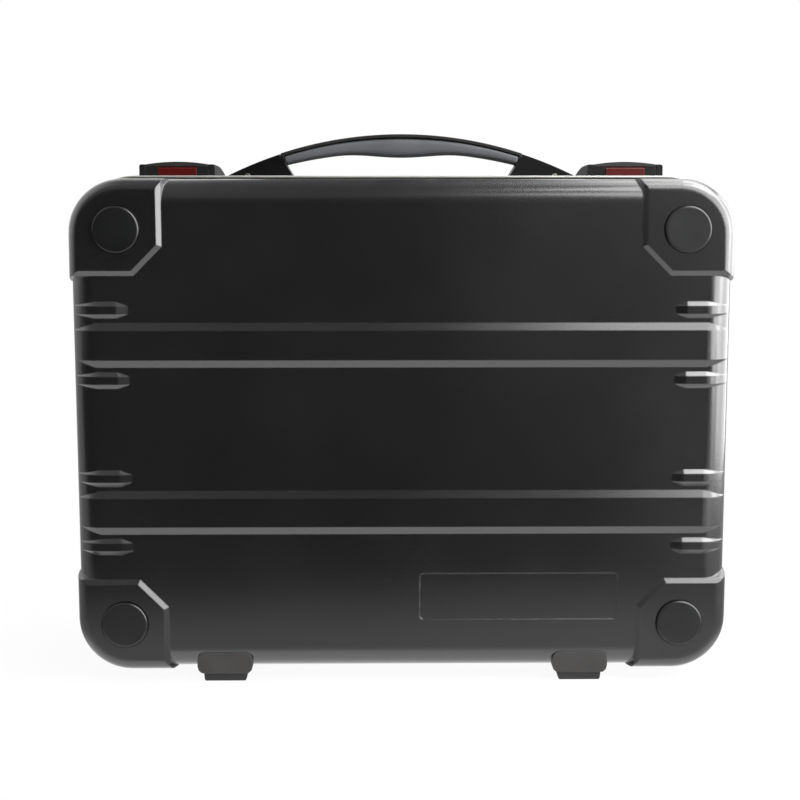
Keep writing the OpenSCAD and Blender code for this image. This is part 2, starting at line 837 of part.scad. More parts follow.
// Steel hook under the lever's front edge.
module latch_hook(x)
    color("silver") on_top(x) bar_x(hook_w)
        polygon([[hook_front, keeper_top + slide_gap], [hook_front + 2, keeper_top + slide_gap],
                 [hook_front + 2.6, lever_bottom - hook_t + 0.5],
                 [hook_end, lever_bottom - hook_t + 0.5], [hook_end, lever_bottom - rest_gap],
                 [hook_front + 1, lever_bottom - rest_gap],
                 [hook_front, lever_bottom - rest_gap - 0.8]]);

module left_latch_hook() latch_hook(-latch_x);
module right_latch_hook() latch_hook(latch_x);

module latch_button(x)
    color([0.6, 0.08, 0.06]) on_top(x) difference() {
        translate([0, 0, (button_z0 + button_z1) / 2])
            bar_y(latch_front - button_proud, button_depth)
                round_rect(button_w, button_z1 - button_z0, 0.8);
        translate([0, 0, (button_z0 + button_z1) / 2])
            rod_y(button_bore_r, latch_front - button_proud + button_depth - button_bore,
                  button_bore + cut);
        translate([0, latch_front - button_proud, button_z1]) rotate([45, 0, 0])
            cube([button_w + cut, 1.4, 1.4], center = true);
    }

module left_latch_button() latch_button(-latch_x);
module right_latch_button() latch_button(latch_x);

module button_spring(x)
    color("silver") on_top(x) translate([0, 0, (button_z0 + button_z1) / 2]) {
        front = latch_front - button_proud + button_depth - button_bore
                + button_travel + 0.2;
        difference() {
            rod_y(spring_r, front, button_pocket - rest_gap / 2 - front);
            rod_y(spring_r - 0.8, front - cut, button_pocket - front + 2 * cut);
        }
    }

module left_button_spring() button_spring(-latch_x);
module right_button_spring() button_spring(latch_x);

// Keeper: a steel angle let into the lid frame, its lip under the hook.
module keeper_pocket()
    translate([0, -seam_gap - 0.7, keeper_top - 3.5])
        cube([keeper_w + 2 * rest_gap, 1.5 + rest_gap, 5 + 2 * rest_gap], center = true);

module keeper(x)
    color("silver") on_top(x) bar_x(keeper_w)
        polygon([[-seam_gap - 1.4, keeper_top - 6 + rest_gap],
                 [-seam_gap, keeper_top - 6 + rest_gap],
                 [-seam_gap, keeper_top - 1.4 - rest_gap], [1.8, keeper_top - 1.4 - rest_gap],
                 [1.8, keeper_top], [1, keeper_top], [1, keeper_top - 0.6],
                 [-seam_gap, keeper_top - 0.6], [-seam_gap, keeper_top - 1 - rest_gap],
                 [-seam_gap - 1.4, keeper_top - 1 - rest_gap]]);

module left_keeper() keeper(-latch_x);
module right_keeper() keeper(latch_x);

// Handle, drawn about its pivot with Y behind the pivot and Z above the shell

module on_handle(x = 0) on_top(x, pivot_y) children();

// Side section of the handle's feet: flat in front, turning about the pivot behind.
module handle_foot_section() {
    top = handle_rise + cut;
    polygon([[handle_front, handle_rest], [0, handle_rest], [0, pivot_z],
             [foot_turn_r, pivot_z], [handle_rear, handle_rise], [handle_rear, top],
             [handle_front, top]]);
    intersection() {
        translate([0, pivot_z]) circle(r = pivot_z - handle_rest);
        translate([0, handle_rest]) square([foot_turn_r, pivot_z - handle_rest]);
    }
}

module arch_disc(r)
    translate([0, handle_centre_z]) circle(r = r, $fn = 256);

// Place beside the end of the grip, at a radius of the arch.
function grip_end(r) =
    [r * sin(grip_reach) + slide_gap, handle_centre_z + r * cos(grip_reach)];

// Front outline of the right foot.
module handle_foot_outline()
    intersection() {
        union() {
            arch_disc(handle_r - strap_t);
            intersection() {
                arch_disc(handle_r - foot_step);
                translate([strap_half + 0.4, 0]) square([handle_l, handle_rise]);
            }
        }
        polygon([[handle_foot_low_x, handle_rest],
                 grip_end(handle_r - strap_t - grip_ends - 0.4),
                 grip_end(handle_r + cut), [handle_l / 2, handle_rise],
                 [handle_l / 2, handle_rest]]);
    }

module handle_foot_right()
    difference() {
        intersection() {
            bar_y(handle_front, handle_w) handle_foot_outline();
            translate([ear_x, 0, 0]) bar_x(handle_l) handle_foot_section();
        }
        translate([ear_x, 0, 0]) {
            translate([0, handle_w / 2 - ear_r - 1,
                       pivot_z + ear_r + 0.4 - handle_rise / 2])
                cube([ear_t + 2 * slide_gap, handle_w, handle_rise], center = true);
            translate([0, 0, pivot_z])
                rod_x(handle_pin_r + rest_gap / 2, 2 * handle_pin_half + rest_gap);
        }
        translate([ring_x, 0, ring_z]) rod_y(ring_r + rest_gap / 2, handle_front - cut,
                  ring_l - ring_proud + rest_gap / 2 + cut);
    }

module left_handle_foot()
    color([0.07, 0.07, 0.07]) on_handle() mirror([1, 0, 0]) handle_foot_right();

module right_handle_foot()
    color([0.07, 0.07, 0.07]) on_handle() handle_foot_right();

module handle_foot_rivets()
    color("silver") for (s = [-1, 1]) on_handle(s * ring_x)
        translate([0, 0, ring_z]) difference() {
            rod_y(ring_r, handle_front - ring_proud, ring_l);
            rod_y(ring_r - 0.8, handle_front - cut, 4);
        }

module handle_strap()
    color([0.05, 0.05, 0.05]) on_handle()
        bar_y(handle_front, handle_w) intersection() {
            difference() {
                arch_disc(handle_r);
                arch_disc(handle_r - strap_t + rest_gap / 2);
            }
            translate([0, handle_rise / 2])
                square([2 * strap_half, handle_rise + cut], center = true);
        }

// Depth of the grip below the strap, at an angle along the arch.
function grip_depth(a) =
    let (x = handle_r * sin(a))
    grip_ends + grip_taper * cos(90 * x / grip_half)
    + (abs(x) < grip_swell_half
       ? grip_swell * (1 + cos(180 * x / grip_swell_half)) / 2 : 0);

// Ring of points round the grip at an angle along the arch.
function grip_ring(a, sides) =
    let (d = grip_depth(a), half = handle_w / 2 + grip_proud, r_out = handle_r - strap_t - rest_gap)
    [for (k = [0:sides - 1])
        let (t = 360 * (k + 0.5) / sides,
             c = sign(cos(t)) * pow(abs(cos(t)), 0.5),
             s = sign(sin(t)) * pow(abs(sin(t)), 0.5),
             r = r_out - d / 2 + s * d / 2)
        [r * sin(a), (handle_front + handle_rear) / 2 + c * half,
         handle_centre_z + r * cos(a)]];

module handle_grip() {
    sides = 20;
    steps = 40;
    rings = [for (i = [0:steps]) grip_ring(grip_reach * (2 * i / steps - 1), sides)];
    points = [for (ring = rings) each ring];
    faces = concat(
        [[for (k = [0:sides - 1]) k]],
        [for (i = [0:steps - 1], k = [0:sides - 1])
            let (n = (k + 1) % sides)
            each [[i * sides + k, (i + 1) * sides + k, (i + 1) * sides + n],
                  [i * sides + k, (i + 1) * sides + n, i * sides + n]]],
        [[for (k = [sides - 1:-1:0]) steps * sides + k]]);
    color([0.3, 0.31, 0.33]) on_handle() polyhedron(points, faces);
}

module mount_screw_shanks(gap)
    for (sx = [-1, 1], sy = [-1, 1])
        translate([sx * mount_screw_x, sy * mount_screw_y,
                   deck_inner(pivot_y + sy * mount_screw_y) - cut])
            cylinder(r = 1.5 + gap,
                     h = -deck_inner(pivot_y + sy * mount_screw_y) + cut - 0.4);

module handle_mount(x)
    color([0.1, 0.1, 0.1]) on_handle(x) difference() {
        union() {
            translate([0, 0, -mount_t / 2]) cube([mount_w, mount_l, mount_t], center = true);
            translate([0, 0, pivot_z]) rod_x(ear_r, ear_t);
            translate([0, 0, (pivot_z - mount_t / 2) / 2])
                cube([ear_t, 2 * ear_r, pivot_z + mount_t / 2], center = true);
        }
        translate([0, 0, pivot_z]) rod_x(handle_pin_r + pin_gap, ear_t + cut);
        mount_screw_shanks(rest_gap / 2);
        for (sx = [-1, 1], sy = [-1, 1])
            translate([sx * mount_screw_x, sy * mount_screw_y, -0.9])
                cylinder(r = 3 + rest_gap, h = cut);
    }

module left_handle_mount() handle_mount(-ear_x);
module right_handle_mount() handle_mount(ear_x);

module handle_mount_screws()
    color("silver") for (s = [-1, 1]) on_handle(s * ear_x) {
        mount_screw_shanks(0);
        for (sx = [-1, 1], sy = [-1, 1])
            translate([sx * mount_screw_x, sy * mount_screw_y, 0]) {
                translate([0, 0, -0.85]) cylinder(r = 3, h = 0.8);
                translate([0, 0, deck_inner(pivot_y + sy * mount_screw_y) - 1.2])
                    cylinder(r = 3, h = 1);
            }
    }

module handle_pin(x)
    color("silver") on_handle(x) translate([0, 0, pivot_z])
        rod_x(handle_pin_r, 2 * handle_pin_half);

module left_handle_pin() handle_pin(-ear_x);
module right_handle_pin() handle_pin(ear_x);

lid_shell();
lid_frame();
lid_seal();
lid_corner_plugs();
lid_feet();
lid_foot_pads();
left_lid_hinge_leaf();
right_lid_hinge_leaf();
lid_hinge_rivets();
left_keeper();
right_keeper();
base_shell();
base_frame();
base_seal();
rim_gasket();
base_corner_plugs();
base_feet();
base_foot_pads();
left_base_hinge_leaf();
right_base_hinge_leaf();
base_hinge_rivets();
left_hinge_pin();
right_hinge_pin();
left_latch_housing();
right_latch_housing();
left_latch_pin();
right_latch_pin();
latch_rivets();
left_latch_lever();
right_latch_lever();
left_latch_hook();
right_latch_hook();
left_button_spring();
right_button_spring();
left_latch_button();
right_latch_button();
left_handle_mount();
right_handle_mount();
left_handle_pin();
right_handle_pin();
handle_mount_screws();
left_handle_foot();
right_handle_foot();
handle_foot_rivets();
handle_strap();
handle_grip();
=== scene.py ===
"""Looks of the transport case: finishes, softened edges and the studio."""

import json
import logging
import math
from dataclasses import dataclass
from enum import Enum
from functools import reduce
from typing import Iterable, NamedTuple, Optional, Sequence

import bpy
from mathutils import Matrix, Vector

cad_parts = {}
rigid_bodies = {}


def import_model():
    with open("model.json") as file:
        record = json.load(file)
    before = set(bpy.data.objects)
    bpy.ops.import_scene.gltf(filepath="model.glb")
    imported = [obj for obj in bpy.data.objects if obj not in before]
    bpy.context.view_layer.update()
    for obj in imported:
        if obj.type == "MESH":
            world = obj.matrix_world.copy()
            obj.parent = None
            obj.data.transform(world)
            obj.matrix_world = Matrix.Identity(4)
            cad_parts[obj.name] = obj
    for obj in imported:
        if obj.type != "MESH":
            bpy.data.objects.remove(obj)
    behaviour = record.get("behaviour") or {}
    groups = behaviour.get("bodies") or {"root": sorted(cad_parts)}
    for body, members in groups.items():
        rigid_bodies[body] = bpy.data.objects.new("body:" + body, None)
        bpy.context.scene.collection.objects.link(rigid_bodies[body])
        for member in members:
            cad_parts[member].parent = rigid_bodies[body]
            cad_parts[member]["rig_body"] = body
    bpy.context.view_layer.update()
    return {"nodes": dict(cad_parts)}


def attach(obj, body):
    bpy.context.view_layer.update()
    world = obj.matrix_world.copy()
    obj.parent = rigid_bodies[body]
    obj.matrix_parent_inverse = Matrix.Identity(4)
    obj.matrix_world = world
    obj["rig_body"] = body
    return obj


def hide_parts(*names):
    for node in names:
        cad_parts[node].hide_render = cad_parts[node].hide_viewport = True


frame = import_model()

LOG = logging.getLogger("transport_case")
MM = 0.001
BEVEL_SAMPLES = 4
WHITE = (1.0, 1.0, 1.0, 1.0)
Colour = tuple[float, float, float]
Place = tuple[float, float, float]
Socket = bpy.types.NodeSocket


# ---------------------------------------------------------------- choices


class Side(Enum):
    """The two sides that latches, hinges and handle ends come in."""

    LEFT = "left"
    RIGHT = "right"


class Half(Enum):
    """The two halves of the case."""

    LID = "lid"
    BASE = "base"


class Pattern(Enum):
    """Surface textures that a finish may carry."""

    LEATHER_GRAIN = "leather grain"
    SPARK_ERODED = "spark eroded"
    BRUSHED = "brushed"


# ---------------------------------------------------------------- node tools


class Ramp(NamedTuple):
    """A range of values and the range that it is mapped to, clamped.

    Attributes:
        low: Value that becomes to_low.
        high: Value that becomes to_high.
        to_low: Result at the low end.
        to_high: Result at the high end.
    """

    low: float
    high: float
    to_low: float = 0.0
    to_high: float = 1.0


class NodeTree:
    """Thin helper that adds nodes to a shader tree and links them."""

    COLUMNS = 8
    COLUMN_WIDTH = 180
    ROW_HEIGHT = 220

    def __init__(self, tree: bpy.types.NodeTree) -> None:
        """Wraps a tree.

        Args:
            tree: The node tree to build in.
        """
        self.tree = tree
        self.count = 0

    def add(self, kind: str, links: Optional[dict] = None,
            **settings: object) -> bpy.types.Node:
        """Adds a node, sets its properties and feeds its inputs.

        Args:
            kind: The node's type name.
            links: Input name or index to a socket or a plain value.
            **settings: Properties set on the node.

        Returns:
            The new node.
        """
        node = self.tree.nodes.new(kind)
        row, column = divmod(self.count, self.COLUMNS)
        node.location = (self.COLUMN_WIDTH * column, -self.ROW_HEIGHT * row)
        self.count += 1
        for name, value in settings.items():
            setattr(node, name, value)
        self.feed(node, links or {})
        return node

    def feed(self, node: bpy.types.Node, links: dict) -> None:
        """Feeds a node's inputs.

        Args:
            node: The node.
            links: Input name or index to a socket or a plain value.
        """
        for key, value in links.items():
            if isinstance(value, Socket):
                self.tree.links.new(value, node.inputs[key])
            else:
                node.inputs[key].default_value = value

    def group(self, tree: bpy.types.NodeTree, **inputs: float) -> bpy.types.Node:
        """Adds a node group.

        Args:
            tree: The group.
            **inputs: Its inputs' values.

        Returns:
            The new node.
        """
        return self.add("ShaderNodeGroup", inputs, node_tree=tree)

    def math(self, operation: str, *values: object) -> Socket:
        """Adds a Math node.

        Args:
            operation: The operation's name.
            *values: Sockets or numbers for its inputs.

        Returns:
            The result's socket.
        """
        node = self.add("ShaderNodeMath", dict(enumerate(values)), operation=operation)
        return node.outputs[0]

    def chain(self, operation: str, *values: object) -> Socket:
        """Joins any number of values by one operation.

        Args:
            operation: The operation's name.
            *values: Sockets or numbers, two or more.

        Returns:
            The result's socket.
        """
        return reduce(lambda joined, value: self.math(operation, joined, value), values)

    def spread(self, value: Socket, ramp: Ramp) -> Socket:
        """Maps a range of values to another, clamped.

        Args:
            value: The socket to map.
            ramp: Both ranges.

        Returns:
            The mapped socket.
        """
        node = self.add("ShaderNodeMapRange", dict(enumerate((value, *ramp))))
        return node.outputs[0]

    def noise(self, where: Socket, scale: object, detail: float,
              roughness: float = 0.5) -> bpy.types.Node:
        """Adds a noise texture.

        Args:
            where: The place that it is taken at.
            scale: Its scale, a socket or a number.
            detail: How many finer layers it has.
            roughness: How much each finer layer adds.

        Returns:
            The new node.
        """
        return self.add("ShaderNodeTexNoise", {
            "Vector": where, "Scale": scale, "Detail": detail, "Roughness": roughness})

    def mix_shaders(self, share: Socket, under: bpy.types.Node,
                    over: bpy.types.Node) -> bpy.types.Node:
        """Mixes two shaders.

        Args:
            share: How much of the upper one shows.
            under: The lower shader.
            over: The upper shader.

        Returns:
            The mixed shader.
        """
        return self.add("ShaderNodeMixShader",
                        {0: share, 1: under.outputs[0], 2: over.outputs[0]})

    def mix_colours(self, share: Socket, under: Socket, over: Colour) -> Socket:
        """Mixes a colour over another.

        The node has sockets for each type of data, and these are its colour ones.

        Args:
            share: How much of the upper colour shows.
            under: The lower colour's socket.
            over: The upper colour.

        Returns:
            The mixed colour's socket.
        """
        factor, lower, upper, result = 0, 6, 7, 2
        node = self.add("ShaderNodeMix", {
            factor: share, lower: under, upper: (*over, 1.0)}, data_type="RGBA")
        return node.outputs[result]


class GroupLibrary:
    """Shader node groups that several finishes share, each built once.

    Scales are in texture cells per metre, and the grain's warp is in metres. Each
    ramp turns a texture's or a face's own number into a share from 0 to 1.
    """

    TONE = Ramp(0.3, 0.7)
    GRAIN_WARP = 0.0011
    GRAIN_WARP_SCALE = 420.0
    PEBBLE_SMOOTHNESS = 0.55
    PEBBLE_CROWN = Ramp(0.05, 0.75, 1.0, 0.0)
    BRUSH_STRETCH = (0.012, 1.0, 0.012)
    EDGE_TURN = Ramp(0.995, 0.86)
    EDGE_RUB = Ramp(0.35, 0.62)
    EDGE_RUB_SCALE = 260.0
    DUST_LEVEL = Ramp(0.55, 0.98)
    DUST_PATCH = Ramp(0.42, 0.75)
    DUST_SCALE = 55.0

    def __init__(self) -> None:
        """Builds the groups."""
        self.grain = self._leather_grain()
        self.spark = self._spark_eroded()
        self.brush = self._brushed()
        self.edges = self._edge_wear()
        self.dust = self._dust()

    @staticmethod
    def _begin(name: str, inputs: Sequence[str], outputs: Sequence[str]
               ) -> tuple[NodeTree, bpy.types.Node, bpy.types.Node, Socket]:
        """Starts a group with its sockets.

        Args:
            name: The group's name.
            inputs: Name of each number that goes in.
            outputs: Name of each number that comes out.

        Returns:
            The tree helper, the input node, the output node and the object's place.
        """
        tree = bpy.data.node_groups.new(name, "ShaderNodeTree")
        for direction, names in (("INPUT", inputs), ("OUTPUT", outputs)):
            for socket in names:
                tree.interface.new_socket(socket, in_out=direction,
                                          socket_type="NodeSocketFloat")
        t = NodeTree(tree)
        inp, out = t.add("NodeGroupInput"), t.add("NodeGroupOutput")
        return t, inp, out, t.add("ShaderNodeTexCoord").outputs["Object"]

    def _leather_grain(self) -> bpy.types.NodeTree:
        """Fine pebbled leather grain of moulded shells.

        Returns:
            The group, with Height and Tone.
        """
        t, inp, out, where = self._begin("leather_grain", ["Pitch"], ["Height", "Tone"])
        warp = t.noise(where, self.GRAIN_WARP_SCALE, detail=2.0)
        moved = t.add("ShaderNodeVectorMath", {
            0: warp.outputs["Color"], 1: (self.GRAIN_WARP,) * 3}, operation="MULTIPLY")
        seat = t.add("ShaderNodeVectorMath", {0: where, 1: moved.outputs[0]},
                     operation="ADD")
        cells = t.add("ShaderNodeTexVoronoi", {
            "Vector": seat.outputs[0], "Scale": inp.outputs["Pitch"],
            "Smoothness": self.PEBBLE_SMOOTHNESS}, feature="SMOOTH_F1")
        broad = t.noise(where, scale=9.0, detail=3.0)
        t.feed(out, {"Height": t.spread(cells.outputs["Distance"], self.PEBBLE_CROWN),
                     "Tone": t.spread(broad.outputs["Fac"], self.TONE)})
        return t.tree

    def _spark_eroded(self) -> bpy.types.NodeTree:
        """Even, very fine texture of small moulded parts.

        Returns:
            The group, with Height and Tone.
        """
        t, inp, out, where = self._begin("spark_eroded", ["Pitch"], ["Height", "Tone"])
        fine = t.noise(where, inp.outputs["Pitch"], detail=3.0)
        broad = t.noise(where, scale=30.0, detail=2.0)
        t.feed(out, {"Height": fine.outputs["Fac"],
                     "Tone": t.spread(broad.outputs["Fac"], self.TONE)})
        return t.tree

    def _brushed(self) -> bpy.types.NodeTree:
        """Fine lines of drawn or brushed metal, along the case's rim.

        Returns:
            The group, with Height and Tone.
        """
        t, inp, out, where = self._begin("brushed_metal", ["Pitch"], ["Height", "Tone"])
        flat = t.add("ShaderNodeMapping", {
            "Vector": where, "Scale": self.BRUSH_STRETCH})
        lines = t.noise(flat.outputs[0], inp.outputs["Pitch"], detail=4.0,
                        roughness=0.7)
        stains = t.noise(where, scale=22.0, detail=3.0)
        t.feed(out, {"Height": lines.outputs["Fac"],
                     "Tone": t.spread(stains.outputs["Fac"], self.TONE)})
        return t.tree

    def _edge_wear(self) -> bpy.types.NodeTree:
        """Mask of rubbed edges, broken up by noise.

        Returns:
            The group, with Mask.
        """
        t, inp, out, where = self._begin("edge_wear", ["Width", "Amount"], ["Mask"])
        soft = t.add("ShaderNodeBevel", {"Radius": inp.outputs["Width"]},
                     samples=BEVEL_SAMPLES)
        hard = t.add("ShaderNodeNewGeometry")
        turn = t.add("ShaderNodeVectorMath", {
            0: soft.outputs[0], 1: hard.outputs["Normal"]}, operation="DOT_PRODUCT")
        edge = t.spread(turn.outputs["Value"], self.EDGE_TURN)
        rub = t.noise(where, self.EDGE_RUB_SCALE, detail=4.0, roughness=0.65)
        broken = t.spread(rub.outputs["Fac"], self.EDGE_RUB)
        t.feed(out, {"Mask": t.chain("MULTIPLY", edge, broken, inp.outputs["Amount"])})
        return t.tree

    def _dust(self) -> bpy.types.NodeTree:
        """Mask of settled dust on faces that look up.

        Returns:
            The group, with Mask.
        """
        t, inp, out, where = self._begin("settled_dust", ["Amount"], ["Mask"])
        normal = t.add("ShaderNodeNewGeometry").outputs["Normal"]
        up = t.add("ShaderNodeSeparateXYZ", {0: normal})
        lie = t.spread(up.outputs["Z"], self.DUST_LEVEL)
        motes = t.noise(where, self.DUST_SCALE, detail=6.0, roughness=0.7)
        patch = t.spread(motes.outputs["Fac"], self.DUST_PATCH)
        t.feed(out, {"Mask": t.chain("MULTIPLY", lie, patch, inp.outputs["Amount"])})
        return t.tree

    def for_pattern(self, pattern: Pattern) -> bpy.types.NodeTree:
        """The group that makes a texture.

        Args:
            pattern: The texture.

        Returns:
            Its group.
        """
        return {Pattern.LEATHER_GRAIN: self.grain, Pattern.SPARK_ERODED: self.spark,
                Pattern.BRUSHED: self.brush}[pattern]


# ---------------------------------------------------------------- finishes


@dataclass(frozen=True)
class Finish:
    """One finish of the case, made into a material when it is first used.

    Attributes:
        name: The material's name.
        slot: The record's material slot; not used.
        colour: Base colour.
        roughness: Middle of the roughness.
        metallic: 1 for bare metal, 0 for the rest.
        specular: How strongly it mirrors.
        coat: Weight of its clear coat.
        coat_roughness: The coat's roughness.
        pattern: The surface texture.
        pitch: The texture's cells per metre.
        depth: The texture's depth in metres.
        tone: How far the colour varies, as a share of it.
        roughness_spread: How far the roughness varies.
        wear: How much the edges are rubbed.
        wear_colour: Colour of a rubbed edge.
        wear_width: Width of a rubbed edge in metres.
        round_edges: Radius in metres that edges are shaded with, 0 for none.
        dust: How much dust has settled.
        dust_colour: The dust's colour.
        dust_roughness: Roughness that a full layer of dust adds.
    """

    name: str
    slot: str
    colour: Colour
    roughness: float
    metallic: float = 0.0
    specular: float = 0.5
    coat: float = 0.0
    coat_roughness: float = 0.15
    pattern: Pattern = Pattern.SPARK_ERODED
    pitch: float = 2200.0
    depth: float = 0.00004
    tone: float = 0.12
    roughness_spread: float = 0.04
    wear: float = 0.25
    wear_colour: Colour = (0.16, 0.16, 0.165)
    wear_width: float = 0.0009
    round_edges: float = 0.0
    dust: float = 0.05
    dust_colour: Colour = (0.30, 0.29, 0.27)
    dust_roughness: float = 0.4

    def build(self, groups: GroupLibrary) -> bpy.types.Material:
        """Builds the finish's material.

        Args:
            groups: The shared node groups.

        Returns:
            The material.
        """
        material = bpy.data.materials.new(self.name)
        material.use_nodes = True
        material.diffuse_color = (*self.colour, 1.0)
        material.node_tree.nodes.clear()
        t = NodeTree(material.node_tree)
        texture = t.group(groups.for_pattern(self.pattern), Pitch=self.pitch)
        tone = texture.outputs["Tone"]
        worn = t.group(groups.edges, Width=self.wear_width, Amount=self.wear).outputs[0]
        dusty = t.group(groups.dust, Amount=self.dust).outputs[0]

        shade = t.spread(tone, Ramp(0.0, 1.0, 1.0 - self.tone, 1.0 + self.tone))
        body = t.add("ShaderNodeVectorMath", {0: self.colour, "Scale": shade},
                     operation="SCALE")
        colour = t.mix_colours(worn, body.outputs[0], self.wear_colour)
        colour = t.mix_colours(dusty, colour, self.dust_colour)

        rough = t.spread(tone, Ramp(0.0, 1.0, self.roughness - self.roughness_spread,
                                    self.roughness + self.roughness_spread))
        rough = t.math("ADD", rough, t.math("MULTIPLY", dusty, self.dust_roughness))

        bump = t.add("ShaderNodeBump", {"Height": texture.outputs["Height"],
                                        "Strength": 1.0, "Distance": self.depth})
        if self.round_edges:
            soft = t.add("ShaderNodeBevel", {"Radius": self.round_edges},
                         samples=BEVEL_SAMPLES)
            t.feed(bump, {"Normal": soft.outputs[0]})

        shader = t.add("ShaderNodeBsdfPrincipled", {
            "Base Color": colour, "Roughness": rough, "Metallic": self.metallic,
            "Specular IOR Level": self.specular, "Coat Weight": self.coat,
            "Coat Roughness": self.coat_roughness, "Normal": bump.outputs[0]})
        t.add("ShaderNodeOutputMaterial", {"Surface": shader.outputs[0]})
        return material


SHELL = Finish("charcoal shell", "shell_plastic", colour=(0.0075, 0.0075, 0.008),
               roughness=0.22, specular=1.0, coat=1.0, pattern=Pattern.LEATHER_GRAIN,
               pitch=1000.0, depth=0.00003, wear=0.35, wear_width=0.0011,
               round_edges=0.0012)
PLUG = Finish("corner plug", "plug_plastic", colour=(0.006, 0.0062, 0.0066),
              roughness=0.3, specular=0.8, pitch=1800.0, depth=0.00005,
              round_edges=0.0008)
RIM = Finish("anodised rim", "frame_aluminium", colour=(0.70, 0.69, 0.66),
             roughness=0.5, metallic=1.0, pattern=Pattern.BRUSHED, pitch=1500.0,
             depth=0.00002, tone=0.05, wear=0.3, wear_colour=(0.9, 0.89, 0.87),
             round_edges=0.001)
# Near-black: the gasket's own rubber, and on the lid and base seal strips a painted
# shade that fills the shadowed neck under the rim's bead.
SEAL_AND_NECK_SHADE = Finish("rim gasket and painted neck shade", "seal_rubber", colour=(0.008, 0.008, 0.008), roughness=0.7,
              wear=0.0)
FOOT = Finish("foot block", "foot_plastic", colour=(0.042, 0.040, 0.039),
              roughness=0.5, round_edges=0.0008)
FOOT_RUBBER = Finish("foot rubber", "foot_rubber", colour=(0.030, 0.029, 0.030),
                     roughness=0.75, pitch=1200.0, depth=0.00008,
                     wear_colour=(0.1, 0.1, 0.1), dust=0.1)
LATCH = Finish("latch body", "latch_plastic", colour=(0.006, 0.006, 0.0065),
               roughness=0.6, specular=0.22, pitch=2600.0, depth=0.00003,
               round_edges=0.0005)
BUTTON = Finish("release button", "button_red", colour=(0.075, 0.003, 0.002),
                roughness=0.3, coat=0.35, depth=0.00001, wear_colour=(0.5, 0.12, 0.1),
                round_edges=0.0004)
STRAP = Finish("handle strap", "strap_plastic", colour=(0.008, 0.008, 0.008),
               roughness=0.5, round_edges=0.0005)
GRIP = Finish("soft grip", "grip_soft", colour=(0.084, 0.088, 0.095), roughness=0.62,
              pitch=1500.0, depth=0.00008, wear=0.1, wear_colour=(0.16, 0.17, 0.18))
HANDLE = Finish("handle foot", "handle_plastic", colour=(0.003, 0.003, 0.003),
                roughness=0.34, specular=0.35, round_edges=0.0006)
STEEL = Finish("plated steel", "steel", colour=(0.56, 0.55, 0.53), roughness=0.32,
               metallic=1.0, pitch=3000.0, depth=0.00001, wear=0.1,
               wear_colour=(0.7, 0.7, 0.7), round_edges=0.0002)


class FinishShop:
    """Builds each finish once and puts it on pieces and CAD nodes."""

    def __init__(self) -> None:
        """Prepares the shared groups."""
        self.groups = GroupLibrary()
        self.made: dict[str, bpy.types.Material] = {}

    def material(self, finish: Finish) -> bpy.types.Material:
        """The material of a finish.

        Args:
            finish: The finish.

        Returns:
            Its material, built at the first call.
        """
        if finish.name not in self.made:
            self.made[finish.name] = finish.build(self.groups)
        return self.made[finish.name]

    def dress(self, piece: bpy.types.Object, finish: Finish) -> None:
        """Puts a finish on a piece or a CAD node.

        Args:
            piece: The object.
            finish: The finish.
        """
        material = self.material(finish)
        if piece.material_slots:
            for slot in piece.material_slots:
                slot.material = material
        else:
            piece.data.materials.append(material)

    def dress_nodes(self, names: Iterable[str], finish: Finish) -> None:
        """Puts a finish on CAD nodes.

        Args:
            names: The nodes' names.
            finish: The finish.
        """
        for name in names:
            self.dress(frame["nodes"][name], finish)
            LOG.info("finish %s on %s", finish.name, name)


# ---------------------------------------------------------------- modelling tools


